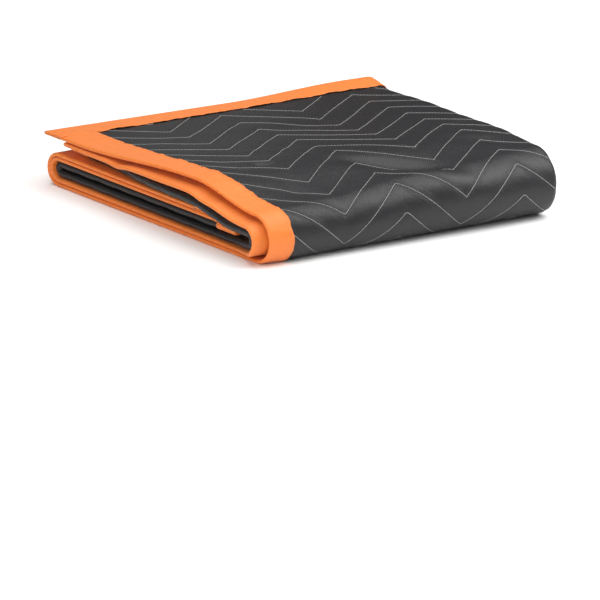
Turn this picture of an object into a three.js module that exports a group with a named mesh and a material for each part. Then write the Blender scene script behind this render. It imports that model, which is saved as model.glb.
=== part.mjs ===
import * as THREE from 'three';

// Quilted moving pad with bound edges, folded to twelve layers and laid flat.
// Millimetres. X runs from the bound end to the creased end, Y from the front
// bend to the back, Z up. The pad is first folded in half twice, which gives
// four layers across X, and then in three along Y like a letter.

// Cloth and binding
const FOLD_WIDTH = 508;
const LAYER_PITCH = 6.6;
const QUILT_HALF = 2.6;
const BOUND_HALF = 1.8;
const BINDING_WIDTH = 40;
const BINDING_WALL = 0.8;
const SEWN_GAP = 0.4;
const BINDING_HALF = BOUND_HALF + SEWN_GAP + BINDING_WALL;
const FLOOR_GAP = 0.35;

// Zigzag quilting: pitch of the rows, reach and half period of the zigzag,
// and how far the cloth puffs up between two rows
const ROW_PITCH = 50.8;
const ZIGZAG_REACH = 84;
const ZIGZAG_HALF_PERIOD = 103;
const ZIGZAG_VALLEY_X = 133;
const ROW_START = 34;
const COLUMNS_PER_HALF = 4;
const STEPS_PER_ROW = 4;
const TROUGH_HALF = 1.7;
const PUFF = 2.4;
const PUFF_SHAPE = [0, 0.82, 1, 0.82];

// The letter fold at the bound end and at the creased end of the stack
const BOUND_END = {
  frontY: -28,
  frontRadius: 39,
  backY: 530,
  backRadius: 26.8,
  topBackY: 536,
  topBackZ: 82.5,
  topRise: 21,
  innerY: 120,
  leanX: -0.08,
};
const CREASED_END = {
  frontY: -66,
  frontRadius: 54,
  backY: 503,
  backRadius: 26.8,
  topBackY: 436,
  topBackZ: 90,
  topRise: 0,
  innerY: 66,
  leanX: 0.03,
};

// How far the second layer stands out at the bound end, how far the third and
// fourth lie in, and how far the ends of all three lie from the first layer's
const SECOND_LAYER_OUT = 20;
const SECOND_LAYER_OUT_REACH = 150;
const CREASE_IN = 14;
const CREASE_HOLD = 180;
const CREASE_SET = 400;
const INNER_END_DRIFT = -55;
const TOP_END_DRIFT = -50;
const DRIFT_REACH = 220;

// Slack between the layers in the front bend, by depth in the stack
const SLACK_TABLE = [
  { depth: 0, slack: 0 },
  { depth: LAYER_PITCH, slack: 8 },
  { depth: 2 * LAYER_PITCH, slack: 9.5 },
  { depth: 3 * LAYER_PITCH, slack: 11 },
];
const SLACK_START = -55;
const SLACK_FULL = 35;
const SLACK_HOLD = 100;

// The rise of the top panel behind the front bend, in shares of its length
const RISE_PEAK = 0.27;
const RISE_END = 0.85;

// Soft dents and swells of the top panel: place, size and height. They start
// beside the bound edge, which lies even.
const SWELL_START_X = 42;
const SWELL_FULL_X = 90;
const TOP_SWELLS = [
  { x: 70, y: 205, radius: 70, height: -4 },
  { x: 250, y: 120, radius: 130, height: 3.5 },
  { x: 330, y: 270, radius: 90, height: -4 },
  { x: 420, y: 90, radius: 90, height: 5 },
];

// Columns of the inner layers, in shares of the width
const INSIDE_SHARES = [5 / 6, 2 / 3, 1 / 2, 1 / 3, 1 / 5, 1 / 10];

// Steps of the sections and stations
const CREASE_X = 4;
const LARGE_TURN_STEPS = 6;
const SMALL_TURN_STEPS = 3;
const INNER_FLAP_STEPS = 5;
const BACK_BEND_STEPS = 7;
const BOTTOM_STEPS = 7;
const FRONT_BEND_STEPS = 10;
const TOP_STEPS = 8;
const STEP_UP = 1;
const CLEAR_OF_STATION = 3;

const BINDING_COLOUR = 0xf67d30;
const QUILT_COLOUR = 0x3b3b3d;

const lerp = THREE.MathUtils.lerp;
const smooth = THREE.MathUtils.smoothstep;

// Path of the outer face in the YZ plane at a place across the stack.
// The distance s is zero where the bottom panel meets the front bend.
function foldAt(x) {
  const share = THREE.MathUtils.clamp(x / FOLD_WIDTH, 0, 1);
  const fold = {};
  for (const name of Object.keys(BOUND_END)) {
    fold[name] = lerp(BOUND_END[name], CREASED_END[name], share);
  }
  fold.share = share;
  fold.bottomFrontY = fold.frontY + fold.frontRadius;
  fold.bottomBackY = fold.backY - fold.backRadius;
  fold.frontArc = Math.PI * fold.frontRadius;
  fold.backArc = Math.PI * fold.backRadius;
  fold.topStart = fold.frontArc;
  fold.topEnd = fold.topStart + fold.topBackY - fold.bottomFrontY;
  fold.backBendEnd = -(fold.bottomBackY - fold.bottomFrontY);
  fold.backBendStart = fold.backBendEnd - fold.backArc;
  fold.innerEnd = fold.backBendStart - (fold.bottomBackY - fold.innerY);
  return fold;
}

function swellAt(x, y) {
  let height = 0;
  for (const swell of TOP_SWELLS) {
    const away = Math.hypot(x - swell.x, y - swell.y) / swell.radius;
    height += swell.height * Math.exp(-away * away);
  }
  return height * smooth(x, SWELL_START_X, SWELL_FULL_X);
}

// Point of the outer face, before the lean of the stack
function facePoint(fold, x, s) {
  if (s > fold.topStart) {
    const y = fold.bottomFrontY + s - fold.topStart;
    const along = (s - fold.topStart) / (fold.topEnd - fold.topStart);
    const settle = smooth(along, 0, 1);
    const rise = smooth(along, 0, RISE_PEAK) * (1 - smooth(along, RISE_PEAK, RISE_END));
    const z = lerp(2 * fold.frontRadius, fold.topBackZ, settle) + fold.topRise * rise;
    const loose = smooth(along, 0, 0.2) * (1 - smooth(along, 0.7, 0.95));
    return [y, z + loose * swellAt(x, y)];
  }
  if (s > 0) {
    const angle = s / fold.frontRadius;
    return [
      fold.bottomFrontY - fold.frontRadius * Math.sin(angle),
      fold.frontRadius * (1 - Math.cos(angle)),
    ];
  }
  if (s > fold.backBendEnd) {
    return [fold.bottomFrontY - s, 0];
  }
  if (s > fold.backBendStart) {
    const angle = (fold.backBendEnd - s) / fold.backRadius;
    return [
      fold.bottomBackY + fold.backRadius * Math.sin(angle),
      fold.backRadius * (1 - Math.cos(angle)),
    ];
  }
  return [fold.bottomBackY - (fold.backBendStart - s), 2 * fold.backRadius];
}

// Share of the slack in the layers: none on the bottom, all of it in the
// front bend, and running out along the top panel
function slackShare(fold, s) {
  const rise = smooth(s, SLACK_START, SLACK_FULL);
  const fall = 1 - smooth(s, fold.topStart + SLACK_HOLD, fold.topEnd);
  return rise * fall;
}

function slackAt(depth) {
  for (let i = 1; i < SLACK_TABLE.length; i += 1) {
    const low = SLACK_TABLE[i - 1];
    const high = SLACK_TABLE[i];
    if (depth <= high.depth || i === SLACK_TABLE.length - 1) {
      const share = (depth - low.depth) / (high.depth - low.depth);
      return lerp(low.slack, high.slack, THREE.MathUtils.clamp(share, 0, 1));
    }
  }
  return 0;
}

// Place of a point of the cloth's middle line, carried by its fold.
// A middle point has x across the stack, depth in the stack, the share inner,
// which is 0 on the outermost layer and 1 on the three inside it, and the
// share second, which is 1 on the layer next to the outermost.
function middlePlace(point, s) {
  const fold = foldAt(point.x);
  const free = 1 - fold.share;
  const innerReach = 1 - smooth(s, fold.innerEnd, fold.innerEnd + DRIFT_REACH);
  const topReach = smooth(s, fold.topEnd - DRIFT_REACH, fold.topEnd);
  const drift = INNER_END_DRIFT * innerReach + TOP_END_DRIFT * topReach;
  const place = s + drift * point.inner * free;
  const slack = slackShare(fold, place);
  const edge = 1 - Math.min(point.x / SECOND_LAYER_OUT_REACH, 1);
  const out = point.second * SECOND_LAYER_OUT * slack;
  const third = point.inner * (1 - point.second);
  const settled = smooth(place, fold.topStart + CREASE_HOLD, fold.topStart + CREASE_SET);
  const crease = third * CREASE_IN * settled;
  return {
    fold,
    place,
    x: point.x + (crease - out) * edge,
    depth: BINDING_HALF + point.depth + slack * slackAt(point.depth),
  };
}

// Point of the cloth at an offset from its middle line: along X, and along
// the inward normal of the fold path
function clothPoint(point, s, offsetX, offsetDepth) {
  const middle = middlePlace(point, s);
  const { fold, place } = middle;
  const [y, z] = facePoint(fold, point.x, place);
  const [y0, z0] = facePoint(fold, point.x, place - 0.5);
  const [y1, z1] = facePoint(fold, point.x, place + 0.5);
  const length = Math.hypot(y1 - y0, z1 - z0);
  const inY = (z1 - z0) / length;
  const inZ = -(y1 - y0) / length;
  const depth = middle.depth + offsetDepth;
  const atY = y + inY * depth;
  const atZ = z + inZ * depth + FLOOR_GAP;
  const atX = middle.x + offsetX + fold.leanX * atY;
  return new THREE.Vector3(atX, atY, atZ);
}

// The middle line of the cloth across the stack, from the bound edge of the
// outermost layer round to the bound edge of the second layer
function middleLine(edgeInset) {
  const line = [];
  const turnX = FOLD_WIDTH - 1.5 * LAYER_PITCH - QUILT_HALF;
  const stepX = BINDING_WIDTH + 2 * SEWN_GAP;
  const add = (x, depth, inner, second) => line.push({ x, depth, inner, second });
  const turn = (centreX, centreDepth, radius, steps, side, direction) => {
    for (let i = 1; i < steps; i += 1) {
      const angle = (Math.PI * i) / steps;
      const x = centreX + side * radius * Math.sin(angle);
      add(x, centreDepth - direction * radius * Math.cos(angle), 1, 0);
    }
  };
  add(edgeInset, 0, 0, 0);
  add(stepX, 0, 0, 0);
  add(stepX + STEP_UP, 0, 0, 0);
  add(FOLD_WIDTH / 3, 0, 0, 0);
  add((2 * FOLD_WIDTH) / 3, 0, 0, 0);
  add((5 * FOLD_WIDTH) / 6, 0, 0, 0);
  add(turnX, 0, 0, 0);
  turn(turnX, 1.5 * LAYER_PITCH, 1.5 * LAYER_PITCH, LARGE_TURN_STEPS, 1, 1);
  const creaseX = CREASE_X + LAYER_PITCH / 2 + QUILT_HALF;
  const inside = INSIDE_SHARES.map((share) => share * FOLD_WIDTH);
  for (const x of [turnX, ...inside, creaseX]) {
    add(x, 3 * LAYER_PITCH, 1, 0);
  }
  turn(creaseX, 2.5 * LAYER_PITCH, LAYER_PITCH / 2, SMALL_TURN_STEPS, -1, -1);
  for (const x of [creaseX, ...inside.toReversed(), turnX]) {
    add(x, 2 * LAYER_PITCH, 1, 0);
  }
  turn(turnX, 1.5 * LAYER_PITCH, LAYER_PITCH / 2, SMALL_TURN_STEPS, 1, -1);
  for (const x of [turnX, ...inside.slice(0, -1)]) {
    add(x, LAYER_PITCH, 1, 1);
  }
  add(stepX + STEP_UP, LAYER_PITCH, 1, 1);
  add(stepX, LAYER_PITCH, 1, 1);
  add(edgeInset, LAYER_PITCH, 1, 1);
  return line;
}

// Outward normals of the middle line at one station, as X and depth shares
function lineNormals(line, s) {
  const places = line.map((point) => middlePlace(point, s));
  return places.map((place, i) => {
    const before = places[Math.max(i - 1, 0)];
    const after = places[Math.min(i + 1, places.length - 1)];
    const alongX = after.x - before.x;
    const alongDepth = after.depth - before.depth;
    const length = Math.hypot(alongX, alongDepth);
    return [alongDepth / length, -alongX / length];
  });
}

// Distances along the fold path where the cloth has a section. They are
// shares of the panels and bends, so each place across the stack has its own.
function bodyStations(fold) {
  const list = [];
  const panel = (from, to, steps, first) => {
    for (let i = first; i < steps; i += 1) {
      list.push(lerp(from, to, i / steps));
    }
  };
  panel(fold.innerEnd, fold.backBendStart, INNER_FLAP_STEPS, 1);
  panel(fold.backBendStart, fold.backBendEnd, BACK_BEND_STEPS, 0);
  panel(fold.backBendEnd, 0, BOTTOM_STEPS, 0);
  panel(0, fold.topStart, FRONT_BEND_STEPS, 0);
  panel(fold.topStart, fold.topEnd, TOP_STEPS, 0);
  return list;
}

function headStations(fold) {
  const inset = BINDING_WALL + SEWN_GAP;
  const bound = BINDING_WIDTH + 2 * SEWN_GAP;
  return [inset, bound, bound + STEP_UP].map((step) => fold.innerEnd + step);
}

function tailStations(fold) {
  const inset = BINDING_WALL + SEWN_GAP;
  const bound = BINDING_WIDTH + 2 * SEWN_GAP;
  return [bound + STEP_UP, bound, inset].map((step) => fold.topEnd - step);
}

// Shift of the quilting rows along the fold path, and their puff
function zigzag(x) {
  const turns = (x - ZIGZAG_VALLEY_X) / (2 * ZIGZAG_HALF_PERIOD);
  const phase = turns - Math.floor(turns);
  return ROW_START + ZIGZAG_REACH * (0.5 - Math.abs(1 - 2 * phase));
}

function quiltRows(x, from, to) {
  const step = ROW_PITCH / STEPS_PER_ROW;
  const rows = [];
  const first = Math.ceil((from - zigzag(x)) / step);
  const last = Math.floor((to - zigzag(x)) / step);
  for (let row = first; row <= last; row += 1) {
    const s = row * step + zigzag(x);
    const phase = ((row % STEPS_PER_ROW) + STEPS_PER_ROW) % STEPS_PER_ROW;
    if (s > from + CLEAR_OF_STATION && s < to - CLEAR_OF_STATION) {
      rows.push({ s, puff: PUFF_SHAPE[phase] });
    }
  }
  return rows;
}

// A mesh put together from lists of points
class Weave {
  constructor() {
    this.points = [];
    this.faces = [];
  }

  add(point) {
    this.points.push(point);
    return this.points.length - 1;
  }

  // Fills the strip between two lists of points, each sorted by its keys.
  // Where both keys are the same, the first list steps first.
  strip(first, second) {
    let i = 0;
    let j = 0;
    while (i < first.length - 1 || j < second.length - 1) {
      const nextFirst = i < first.length - 1 ? first[i + 1].key : Infinity;
      const nextSecond = j < second.length - 1 ? second[j + 1].key : Infinity;
      if (nextFirst <= nextSecond) {
        this.faces.push([first[i].id, first[i + 1].id, second[j].id]);
        i += 1;
      } else {
        this.faces.push([first[i].id, second[j + 1].id, second[j].id]);
        j += 1;
      }
    }
  }

  quad(a, b, c, d) {
    this.faces.push([a, b, c]);
    this.faces.push([a, c, d]);
  }

  volume() {
    let total = 0;
    for (const [a, b, c] of this.faces) {
      const cross = new THREE.Vector3().crossVectors(this.points[b], this.points[c]);
      total += this.points[a].dot(cross) / 6;
    }
    return total;
  }

  geometry() {
    const turned = this.volume() < 0;
    const geometry = new THREE.BufferGeometry().setFromPoints(this.points);
    geometry.setIndex(this.faces.flatMap(([a, b, c]) => (turned ? [a, c, b] : [a, b, c])));
    geometry.computeVertexNormals();
    return geometry;
  }
}

// One column of the cloth: the points of one place of its section, from the
// inner flap's end to the top panel's end
function addColumn(weave, point, rows, pointAt) {
  const fold = foldAt(point.x);
  const put = (s, role, puff) => ({ id: weave.add(pointAt(s, role, puff)), s });
  const head = headStations(fold).map((s, i) => put(s, i < 2 ? 'bound' : 'open', 1));
  const tail = tailStations(fold).map((s, i) => put(s, i > 0 ? 'bound' : 'open', 1));
  const middle = rows
    ? quiltRows(point.x, headStations(fold)[2], tailStations(fold)[0])
    : bodyStations(fold).map((s) => ({ s, puff: 1 }));
  const body = middle.map((row) => put(row.s, 'open', row.puff));
  return { x: point.x, rows, head, body, tail };
}

// Fills between two columns. Two quilted columns join row to row, two plain
// ones station to station, and a mixed pair by distance along the fold path.
function joinColumns(weave, left, right) {
  const counted = (list) => list.map((entry, i) => ({ id: entry.id, key: i }));
  weave.strip(counted(left.head), counted(right.head));
  weave.strip(counted(left.tail), counted(right.tail));
  const body = (column) => [column.head[2], ...column.body, column.tail[0]];
  if (!left.rows && !right.rows) {
    weave.strip(counted(body(left)), counted(body(right)));
    return;
  }
  const sheared = left.rows && right.rows;
  const keyed = (column) => body(column).map((entry) => ({
    id: entry.id,
    key: Math.round((entry.s - (sheared ? zigzag(column.x) : 0)) * 1000) / 1000,
  }));
  weave.strip(keyed(left), keyed(right));
}

// The quilted cloth: one solid, its section swept along the letter fold
function quiltGeometry() {
  const weave = new Weave();
  const inset = BINDING_WALL + SEWN_GAP;
  const line = middleLine(inset);
  const stepX = BINDING_WIDTH + 2 * SEWN_GAP;
  const lastFace = line.findIndex((point) => point.inner > 0) - 1;

  const halfAt = (point, role) => {
    const sideBound = point.x <= stepX && (point.inner === 0 || point.second === 1);
    return role === 'bound' || sideBound ? BOUND_HALF : QUILT_HALF;
  };
  const sidePoint = (i, side) => (s, role) => {
    const [outX, outDepth] = lineNormals(line, s)[i];
    const half = halfAt(line[i], role) * side;
    const point = clothPoint(line[i], s, outX * half, outDepth * half);
    point.z = Math.max(point.z, 0);
    return point;
  };

  const outer = [];
  for (let i = 0; i < 3; i += 1) {
    outer.push(addColumn(weave, line[i], false, sidePoint(i, 1)));
  }
  const columnStep = ZIGZAG_HALF_PERIOD / COLUMNS_PER_HALF;
  const firstColumn = Math.ceil((line[2].x + CLEAR_OF_STATION - ZIGZAG_VALLEY_X) / columnStep);
  const lastColumn = Math.floor((line[lastFace].x - ZIGZAG_VALLEY_X) / columnStep);
  for (let column = firstColumn; column <= lastColumn; column += 1) {
    const face = { x: ZIGZAG_VALLEY_X + column * columnStep, depth: 0, inner: 0, second: 0 };
    const facePointAt = (s, role, puff) => {
      const half = role === 'bound' ? BOUND_HALF : TROUGH_HALF + PUFF * puff;
      const point = clothPoint(face, s, 0, -half);
      point.z = Math.max(point.z, 0);
      return point;
    };
    outer.push(addColumn(weave, face, true, facePointAt));
  }
  for (let i = lastFace; i < line.length; i += 1) {
    outer.push(addColumn(weave, line[i], false, sidePoint(i, 1)));
  }
  const inner = line.map((point, i) => addColumn(weave, point, false, sidePoint(i, -1)));

  for (let i = 1; i < outer.length; i += 1) {
    joinColumns(weave, outer[i - 1], outer[i]);
  }
  for (let i = 1; i < inner.length; i += 1) {
    joinColumns(weave, inner[i], inner[i - 1]);
  }
  joinColumns(weave, inner[0], outer[0]);
  joinColumns(weave, outer[outer.length - 1], inner[inner.length - 1]);

  // The two ends of the cloth, filled between the outer and inner columns
  const innerKey = inner.map((column, i) => i);
  const outerKey = outer.map((column, i) => {
    if (i < 3) {
      return i;
    }
    const beyond = outer.length - 1 - i;
    const fromEnd = line.length - 1 - beyond;
    if (fromEnd >= lastFace) {
      return fromEnd;
    }
    const span = line[lastFace].x - line[2].x;
    return 2 + ((column.x - line[2].x) / span) * (lastFace - 2);
  });
  const first = (column) => column.head[0].id;
  const last = (column) => column.tail[2].id;
  const outerFirst = outer.map((column, i) => ({ id: first(column), key: outerKey[i] }));
  const innerFirst = inner.map((column, i) => ({ id: first(column), key: innerKey[i] }));
  const outerLast = outer.map((column, i) => ({ id: last(column), key: outerKey[i] }));
  const innerLast = inner.map((column, i) => ({ id: last(column), key: innerKey[i] }));
  weave.strip(outerFirst, innerFirst);
  weave.strip(innerLast, outerLast);
  return weave.geometry();
}

// Section of a binding folded over an edge: distance from the edge and
// distance from the cloth's middle, round the closed outline
const BINDING_SECTION = [
  { reach: 0, off: -BINDING_HALF },
  { reach: BINDING_WIDTH, off: -BINDING_HALF },
  { reach: BINDING_WIDTH, off: BINDING_WALL - BINDING_HALF },
  { reach: BINDING_WALL, off: BINDING_WALL - BINDING_HALF },
  { reach: BINDING_WALL, off: BINDING_HALF - BINDING_WALL },
  { reach: BINDING_WIDTH, off: BINDING_HALF - BINDING_WALL },
  { reach: BINDING_WIDTH, off: BINDING_HALF },
  { reach: 0, off: BINDING_HALF },
];

function sweepBinding(sections) {
  const weave = new Weave();
  const rings = sections.map((section) => section.map((point) => weave.add(point)));
  const count = BINDING_SECTION.length;
  for (let i = 1; i < rings.length; i += 1) {
    for (let j = 0; j < count; j += 1) {
      const next = (j + 1) % count;
      weave.quad(rings[i - 1][j], rings[i - 1][next], rings[i][next], rings[i][j]);
    }
  }
  const cap = (ring) => {
    weave.quad(ring[3], ring[2], ring[1], ring[0]);
    weave.quad(ring[7], ring[4], ring[3], ring[0]);
    weave.quad(ring[7], ring[6], ring[5], ring[4]);
  };
  cap(rings[0]);
  cap([...rings[rings.length - 1]].reverse());
  return weave.geometry();
}

// Binding of a side edge, from one end binding to the other
function sideBindingGeometry(layer) {
  const clear = BINDING_WIDTH + SEWN_GAP;
  const stationsAt = (fold) => [
    fold.innerEnd + clear,
    ...bodyStations(fold),
    fold.topEnd - clear,
  ];
  const count = stationsAt(foldAt(0)).length;
  const sections = [];
  for (let i = 0; i < count; i += 1) {
    sections.push(BINDING_SECTION.map(({ reach, off }) => {
      const point = { x: reach, depth: layer * LAYER_PITCH, inner: layer, second: layer };
      return clothPoint(point, stationsAt(foldAt(reach))[i], 0, off);
    }));
  }
  return sweepBinding(sections);
}

// Binding of a free end, along the whole section of the four layers
function endBindingGeometry(atTop) {
  const line = middleLine(0);
  const sections = line.map((point, i) => BINDING_SECTION.map(({ reach, off }) => {
    const fold = foldAt(point.x);
    const s = atTop ? fold.topEnd - reach : fold.innerEnd + reach;
    const [outX, outDepth] = lineNormals(line, s)[i];
    return clothPoint(point, s, -outX * off, -outDepth * off);
  }));
  return sweepBinding(sections);
}

function cloth(colour, roughness) {
  return new THREE.MeshStandardMaterial({ color: colour, roughness, metalness: 0 });
}

function piece(name, geometry, material) {
  const mesh = new THREE.Mesh(geometry, material);
  mesh.name = name;
  return mesh;
}

function movingPad() {
  const pad = new THREE.Group();
  pad.add(piece('quilt', quiltGeometry(), cloth(QUILT_COLOUR, 0.85)));
  pad.add(piece('binding_side_outer', sideBindingGeometry(0), cloth(BINDING_COLOUR, 0.7)));
  pad.add(piece('binding_side_inner', sideBindingGeometry(1), cloth(BINDING_COLOUR, 0.7)));
  pad.add(piece('binding_end_top', endBindingGeometry(true), cloth(BINDING_COLOUR, 0.7)));
  pad.add(piece('binding_end_inner', endBindingGeometry(false), cloth(BINDING_COLOUR, 0.7)));

  // The origin is the middle of the footprint, on the floor
  const box = new THREE.Box3().setFromObject(pad);
  const centre = box.getCenter(new THREE.Vector3());
  for (const mesh of pad.children) {
    mesh.position.set(-centre.x, -centre.y, 0);
  }
  return pad;
}

export default movingPad();
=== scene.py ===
import math

import bpy
import numpy as np
from bpy.props import FloatProperty, FloatVectorProperty, PointerProperty
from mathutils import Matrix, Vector


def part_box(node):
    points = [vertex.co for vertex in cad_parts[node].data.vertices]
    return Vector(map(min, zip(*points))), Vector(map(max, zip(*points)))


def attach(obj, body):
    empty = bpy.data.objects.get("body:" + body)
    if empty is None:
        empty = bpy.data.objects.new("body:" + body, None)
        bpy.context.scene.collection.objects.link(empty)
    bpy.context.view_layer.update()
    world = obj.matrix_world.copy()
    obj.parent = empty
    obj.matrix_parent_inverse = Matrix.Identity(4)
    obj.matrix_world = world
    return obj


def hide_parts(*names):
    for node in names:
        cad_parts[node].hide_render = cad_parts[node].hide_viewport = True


bl_info = {
    "name": "Folded moving pad",
    "version": (1, 0, 0),
    "blender": (4, 5, 0),
    "location": "3D View > Sidebar > Moving pad",
    "description": "Dresses a folded quilted pad with its cloth, bindings and thread",
    "category": "Object",
}

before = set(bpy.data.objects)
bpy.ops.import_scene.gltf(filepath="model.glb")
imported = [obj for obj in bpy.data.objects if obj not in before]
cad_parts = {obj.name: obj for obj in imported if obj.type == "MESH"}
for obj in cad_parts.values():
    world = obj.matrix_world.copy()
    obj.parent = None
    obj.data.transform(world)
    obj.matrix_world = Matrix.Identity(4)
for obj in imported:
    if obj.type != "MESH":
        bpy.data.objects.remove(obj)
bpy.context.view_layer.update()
BODY = "root"
MM = 0.001

# The letter fold at the bound end and at the creased end of the stack, as the
# solids have it, but for two values of the creased end: top_back_y is 25 mm and
# top_rise 1 mm more, for a free back edge that reaches as far as in the photo
BOUND_END = {
    "front_y": -0.028,
    "front_radius": 0.039,
    "back_y": 0.530,
    "back_radius": 0.0268,
    "top_back_y": 0.536,
    "top_back_z": 0.0825,
    "top_rise": 0.021,
    "inner_y": 0.120,
    "lean_x": -0.08,
}
CREASED_END = {
    "front_y": -0.066,
    "front_radius": 0.054,
    "back_y": 0.503,
    "back_radius": 0.0268,
    "top_back_y": 0.461,
    "top_back_z": 0.090,
    "top_rise": 0.001,
    "inner_y": 0.066,
    "lean_x": 0.03,
}

# The free back edge lifts towards the creased end: height, reach before the
# edge, and the shares of the width where it starts and is full
BACK_LIFT = 0.008
BACK_LIFT_REACH = 0.060
BACK_LIFT_START = 0.55
BACK_LIFT_FULL = 0.90

# The top panel rises behind the bend: its peak and its end, as shares of it
RISE_PEAK = 0.27
RISE_END = 0.85
FLOOR_GAP = 0.35 * MM

# Slack between the layers in the front bend: depth in layers, slack in metres,
# and the distances along the fold where it starts, is full and is held
SLACK_DEPTHS = (0.0, 1.0, 2.0, 3.0)
SLACK_WIDTHS = (0.0, 0.008, 0.0095, 0.011)
SLACK_START = -0.055
SLACK_FULL = 0.035
SLACK_HOLD = 0.100

# How far the inner layers stand out at the bound end, where there is slack
SECOND_LAYER_OUT = 0.020
SECOND_LAYER_OUT_REACH = 0.150

# How far the crease of the third and fourth layer lies in towards the back, and
# how far it sags there, with the distances behind the bend for either
CREASE_IN = 0.014
CREASE_HOLD = 0.180
CREASE_SET = 0.400
CREASE_SAG = 0.005
CREASE_SAG_FULL = 0.060
CREASE_SAG_HOLD = 0.250

# How far the ends of the inner layers lie from the first layer's
INNER_END_DRIFT = -0.055
TOP_END_DRIFT = -0.050
DRIFT_REACH = 0.220

# Broad swells and dents of the top panel: x, y, radius, height. They come in
# across the stack from one x to the other, and fade by shares of the panel
SWELL_START_X = 0.042
SWELL_FULL_X = 0.090
SWELL_IN = 0.20
SWELL_HOLD = 0.70
SWELL_OUT = 0.95
TOP_SWELLS = (
    (0.070, 0.205, 0.070, -0.004),
    (0.250, 0.120, 0.130, 0.0035),
    (0.330, 0.270, 0.090, -0.004),
    (0.420, 0.090, 0.090, 0.005),
    (0.500, 0.300, 0.090, 0.004),
)

# Main creases, placed on the outer face: x and distance s along the fold, turn
# in degrees, length, width and depth
CREASES = (
    (0.122, 0.284, -33.0, 0.020, 0.0075, 0.0060),
    (0.282, 0.196, -38.0, 0.080, 0.017, 0.0085),
    (0.320, 0.120, -20.0, 0.095, 0.034, -0.0060),
    (0.160, 0.330, -25.0, 0.060, 0.016, 0.0020),
    (0.225, 0.345, -30.0, 0.080, 0.020, 0.0030),
    (0.150, 0.120, 70.0, 0.050, 0.014, 0.0022),
    (0.100, 0.175, 80.0, 0.030, 0.012, 0.0020),
    (0.430, 0.235, -25.0, 0.060, 0.018, 0.0022),
    (0.330, 0.480, 8.0, 0.120, 0.022, 0.0018),
    (0.170, 0.500, 4.0, 0.090, 0.020, -0.0022),
)

# Dips of the second layer along its free edge: distance s, length and depth
SECOND_LAYER_DIPS = (
    (0.225, 0.022, 0.0025),
    (0.455, 0.020, 0.0030),
    (0.330, 0.060, 0.0015),
)
DIP_REACH = 0.070

# How much wider or narrower the outer tapes look along their edges, with the
# distances from the back edge and the shares of the width
SIDE_TAPE_MORE = 0.011
SIDE_TAPE_MORE_FULL = 0.050
SIDE_TAPE_MORE_FROM = 0.300
END_TAPE_MORE = 0.006
END_TAPE_MORE_SPAN = (0.10, 0.70)
END_TAPE_LESS = 0.001
END_TAPE_LESS_SPAN = (0.45, 0.95)

# Pucker of a sewn tape: wavelengths and size of each wave, and how far it stands
TAPE_SWAY = ((0.083, 0.047, 0.031), 0.0018)
TAPE_RIPPLE = ((0.0171, 0.0113, 0.0243), 0.0005)
TAPE_SLOW = ((0.071, 0.053, 0.112), 0.0009)
TAPE_PROUD = 0.0010
TAPE_CALM = 0.012

# The tape's shut ends: wall, share of the thickness left, and where it is full
END_WALL = 0.0009
END_SHARE = 0.72
END_SOFT = 0.0022

ZIGZAG_VALLEY_X = 0.133
ROW_START = 0.034
CREASE_X = 0.004
CREASE_HALF = 0.0026
TURN_STEPS = 24
NOSE_STEPS = 6
PILLOW_POWER = 2.4
PILLOW_REACH = 0.010
SEED = 7
SEAM_INSET = 0.0045
SEAM_CLEAR = 3 * MM

# How deep a thread sits, in its own thickness, and a stitch's length in pitches
TOPSTITCH_SUNK = 0.12
ROW_PROUD = 0.18
ROW_FLOOR = 0.55
QUILTING_STITCH = 1.25
TOPSTITCH = 0.8

# Steps of the meshes across the cloth, and rows of the quilt in each panel
FACE_STEP = 0.0035
LARGE_TURN_STEP = 0.0026
CREASE_STEP = 0.0013
SMALL_TURN_STEP = 0.0017
HIDDEN_STEP = 0.045
TAPE_HIDDEN_STEP = 0.006
TAPE_INNER_STEP = 0.010
TAPE_SECOND_STEP = 0.008
PANEL_ROWS = (36, 18, 50, 54, 158)
SIDE_STATIONS = 640
ROW_STEP = 0.004
SLOPE_STEP_S = 0.0005
SLOPE_STEP_U = 0.0004


def linear(hex_colour):
    """Turns an sRGB hex colour to the linear colour that shaders take."""
    parts = [int(hex_colour[i:i + 2], 16) / 255 for i in (1, 3, 5)]
    curve = [p / 12.92 if p <= 0.04045 else ((p + 0.055) / 1.055) ** 2.4 for p in parts]
    return (*curve, 1.0)


def length(name, description, default):
    return FloatProperty(name=name, description=description, default=default, unit="LENGTH")


def colour(name, description, hex_colour):
    return FloatVectorProperty(
        name=name, description=description, subtype="COLOR", size=4, default=linear(hex_colour))


class PadSizes(bpy.types.PropertyGroup):
    """Sizes of the pad's cloth, quilting and bindings."""

    fold_width: length("Fold width", "Creased end to bound edge", 0.508)
    layer_pitch: length("Layer pitch", "From one layer to the next", 0.0066)
    bound_half: length("Bound half", "Half thickness of the cloth inside a binding", 0.0018)
    trough_half: length("Trough half", "Half thickness of the cloth at a row of stitches", 0.0017)
    puff: length("Puff", "Rise of the cloth between two rows on the outer face", 0.0009)
    inner_puff: length("Inner puff", "The same inside the stack", 0.0011)
    row_pitch: length("Row pitch", "From one quilting row to the next", 0.0508)
    zigzag_reach: length("Zigzag reach", "How far a row swings", 0.092)
    half_period: length("Half period", "From a peak of the zigzag to a valley", 0.103)
    binding_width: length("Binding width", "Reach of the tape from the edge", 0.040)
    binding_wall: length("Binding wall", "Thickness of the tape", 0.0008)
    sewn_gap: length("Sewn gap", "Between the tape and the cloth", 0.0004)
    thread: length("Thread", "Thickness of the quilting thread", 0.0009)
    stitch: length("Stitch", "From one stitch to the next", 0.0050)


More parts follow.
